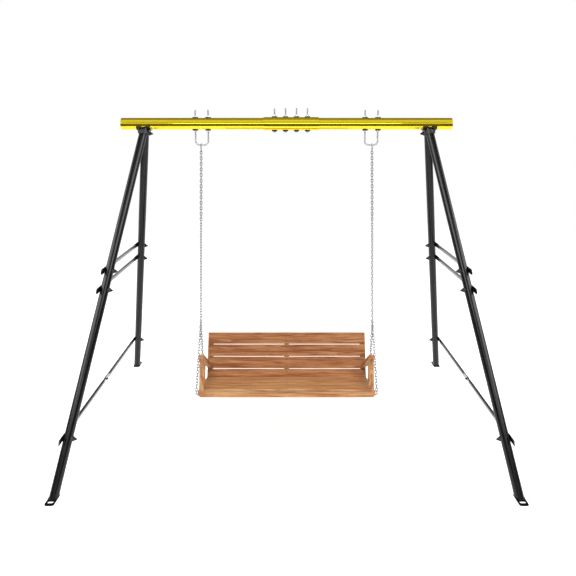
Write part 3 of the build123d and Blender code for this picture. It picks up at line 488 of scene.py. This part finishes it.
# ---------------------------------------------------------------- weld beads
LEG_R = 0.025
APEX_X = 0.900
PLATE_HALF_WIDTH = 0.026
PLATE_TAB = 0.068
PLATE_TOP = 0.005
WELD_R = 0.0028
WELD_SIDES = 10
WELD_STEPS = 132
WELD_RIPPLES = 33
RIPPLE_DEPTH = 0.16
WELD_LUMPS = 7.0
LUMP_DEPTH = 0.05
UP = Vector((0.0, 0.0, 1.0))


def foot_weld(name, side_x, side_y):
    """Rippled weld bead round the foot of one leg, on top of its plate."""
    beam_low, beam_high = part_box("beam_left")
    plate_low, plate_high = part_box("foot_plates")
    apex = Vector((side_x * APEX_X, 0.0, (beam_low[2] + beam_high[2]) / 2))
    foot_x = side_x * (plate_high[0] - PLATE_HALF_WIDTH)
    foot_y = side_y * (plate_high[1] - PLATE_TAB)
    foot = Vector((foot_x, foot_y, 0.0))
    axis = (foot - apex).normalized()
    centre = foot - axis * ((PLATE_TOP + WELD_R / 2) / -axis.z)
    slope = Vector((axis.x, axis.y, 0.0)).normalized()
    across = Vector((-slope.y, slope.x, 0.0))
    shape = bmesh.new()
    rings = []
    for step in range(WELD_STEPS):
        turn = math.tau * step / WELD_STEPS
        out = math.cos(turn) * slope / -axis.z + math.sin(turn) * across
        middle = centre + LEG_R * out
        ripple = 1.0 + RIPPLE_DEPTH * math.sin(WELD_RIPPLES * turn)
        ripple += LUMP_DEPTH * math.sin(WELD_LUMPS * turn + side_x)
        outward = out.normalized()
        ring = []
        for corner in range(WELD_SIDES):
            angle = math.tau * corner / WELD_SIDES
            offset = math.cos(angle) * outward + math.sin(angle) * UP
            spot = middle + WELD_R * ripple * offset
            spot.x = min(max(spot.x, plate_low[0]), plate_high[0])
            ring.append(shape.verts.new(spot))
        rings.append(ring)
    skin(shape, rings, closed=True)
    finished_piece(name, shape, BLACK)


for depth, side_y in (("front", -1), ("rear", 1)):
    for side, side_x in (("left", -1), ("right", 1)):
        foot_weld(f"foot_weld_{depth}_{side}", side_x, side_y)


# ---------------------------------------------------------------- stage
FLOOR_RADIUS = 5.5
FLOOR_FRONT = 2.1
FLOOR_GLOW = 0.68
FLOOR_DROP = 0.0005
FLOOR_SEGMENTS = 128
FLOOR_CLOUD_SCALE = 2.0
FLOOR_ROUGHNESS = 0.9
WHITE = (1.0, 1.0, 1.0, 1.0)


def floor():
    """Round pale floor under the swing, reaching further behind it than in front."""
    material, tree, shader = new_material("pale_floor")
    cloud = noise(tree, mapped(tree), FLOOR_CLOUD_SCALE, detail=3.0)
    tree.links.new(ramp(tree, cloud, [(0.3, 0.88), (0.7, 0.90)]), shader.inputs["Base Color"])
    shader.inputs["Roughness"].default_value = FLOOR_ROUGHNESS
    shader.inputs["Emission Color"].default_value = WHITE
    shader.inputs["Emission Strength"].default_value = FLOOR_GLOW
    mesh = bpy.data.meshes.new("floor")
    shape = bmesh.new()
    bmesh.ops.create_circle(shape, cap_ends=True, radius=FLOOR_RADIUS, segments=FLOOR_SEGMENTS)
    shape.to_mesh(mesh)
    shape.free()
    mesh.materials.append(material)
    disc = bpy.data.objects.new("floor", mesh)
    scene.collection.objects.link(disc)
    disc.location = (0.0, FLOOR_RADIUS - FLOOR_FRONT, -FLOOR_DROP)


DOME_STRENGTH = 12.0
# What matt surfaces see of the dome, before its strength.
SOFT_LIGHT = (0.032, 0.032, 0.032)
# What gloss mirrors, from straight down (0) over the horizon (0.5) to straight up (1):
# in the middle, on both flanks of the studio, and behind the bench.
MIDDLE_BANDS = [
    (0.0, 0.05), (0.14, 0.05), (0.155, 0.001), (0.49, 0.001), (0.50, 0.070), (0.665, 0.070),
    (0.685, 0.029), (0.79, 0.029), (0.81, 0.067), (0.965, 0.064), (0.98, 0.012),
]
FLANK_BANDS = [
    (0.0, 0.05), (0.20, 0.05), (0.24, 0.002), (0.67, 0.002), (0.70, 0.6), (0.79, 0.6), (0.82, 0.002),
]
BACK_BANDS = [(0.0, 0.08), (0.655, 0.08), (0.685, 0.003), (1.0, 0.003)]
# Where the flanks start, from the middle (0) to the side (1), and how far their bands sink there.
FLANK_START = [(0.27, 0.0), (0.33, 1.0)]
FLANK_DROOP = 0.13
# Where the back starts, from in front of the bench (0) to behind it (1).
BACK_START = [(0.49, 0.0), (0.60, 1.0)]


def mirrored_bands(tree):
    """Colour of the studio dome as gloss mirrors it."""
    place = tree.nodes.new("ShaderNodeTexCoord")
    split = tree.nodes.new("ShaderNodeSeparateXYZ")
    tree.links.new(place.outputs["Generated"], split.inputs["Vector"])
    across = tree.nodes.new("ShaderNodeMath")
    across.operation = "ABSOLUTE"
    tree.links.new(split.outputs["X"], across.inputs[0])
    droop = tree.nodes.new("ShaderNodeMath")
    droop.operation = "MULTIPLY_ADD"
    droop.inputs[1].default_value = FLANK_DROOP
    tree.links.new(across.outputs["Value"], droop.inputs[0])
    tree.links.new(split.outputs["Z"], droop.inputs[2])
    lift = to_unit(tree, split.outputs["Z"])
    middle = ramp(tree, lift, MIDDLE_BANDS)
    flank = ramp(tree, to_unit(tree, droop.outputs["Value"]), FLANK_BANDS)
    front = mix(tree, ramp(tree, across.outputs["Value"], FLANK_START), middle, flank)
    behind = ramp(tree, to_unit(tree, split.outputs["Y"]), BACK_START)
    return mix(tree, behind, front, ramp(tree, lift, BACK_BANDS))


def studio_world():
    """White backdrop for the camera, soft light for matt surfaces, a banded dome for gloss."""
    world = bpy.data.worlds.new("studio")
    world.use_nodes = True
    tree = world.node_tree
    dome = tree.nodes["Background"]
    dome.inputs["Strength"].default_value = DOME_STRENGTH
    path = tree.nodes.new("ShaderNodeLightPath")
    seen = mix(tree, path.outputs["Is Glossy Ray"], SOFT_LIGHT, mirrored_bands(tree))
    tree.links.new(seen, dome.inputs["Color"])
    white = tree.nodes.new("ShaderNodeBackground")
    white.inputs["Color"].default_value = WHITE
    choose = tree.nodes.new("ShaderNodeMixShader")
    tree.links.new(path.outputs["Is Camera Ray"], choose.inputs["Fac"])
    tree.links.new(dome.outputs["Background"], choose.inputs[1])
    tree.links.new(white.outputs["Background"], choose.inputs[2])
    tree.links.new(choose.outputs["Shader"], tree.nodes["World Output"].inputs["Surface"])
    scene.world = world


def softbox(name, place, aim, size, power, glossy):
    """Rectangular area light aimed at a point; glossy says whether reflections show it."""
    data = bpy.data.lights.new(name, "AREA")
    data.shape = "RECTANGLE"
    data.size, data.size_y = size
    data.energy = power
    light = bpy.data.objects.new(name, data)
    scene.collection.objects.link(light)
    light.location = place
    light.rotation_euler = (Vector(aim) - Vector(place)).to_track_quat("-Z", "Y").to_euler()
    light.visible_glossy = glossy
    light.visible_camera = False


# Name, place, aim, size in metres, power in watts, and whether gloss mirrors it.
SOFTBOXES = [
    ("top_key", (0.0, -1.2, 4.8), (0.0, 0.1, 0.4), (3.6, 2.4), 175.0, False),
    ("front_fill", (0.0, -4.8, 2.2), (0.0, 0.0, 0.7), (3.4, 2.2), 55.0, False),
    ("floor_wash", (0.0, 0.0, 5.4), (0.0, 0.0, 0.0), (6.0, 6.0), 80.0, False),
    ("front_strip", (0.0, -9.0, 3.1), (0.0, 0.0, 2.0), (5.0, 1.0), 60.0, True),
]

floor()
studio_world()
for box in SOFTBOXES:
    softbox(*box)


# ---------------------------------------------------------------- camera
CAMERA_PLACE = (0.0, -3.705, 1.947)
CAMERA_PITCH = 7.0
FOCAL_LENGTH = 36.0
SENSOR_WIDTH = 36.0
# Shift of the frame, as shares of its width.
SHIFT_X = 0.00243055556
SHIFT_Y = -0.15399305556

lens = bpy.data.cameras.new("camera")
lens.lens = FOCAL_LENGTH
lens.sensor_width = SENSOR_WIDTH
lens.shift_x = SHIFT_X
lens.shift_y = SHIFT_Y
camera = bpy.data.objects.new("camera", lens)
scene.collection.objects.link(camera)
camera.location = CAMERA_PLACE
camera.rotation_euler = (math.radians(90.0 - CAMERA_PITCH), 0.0, 0.0)
scene.camera = camera
scene.view_settings.view_transform = "Standard"
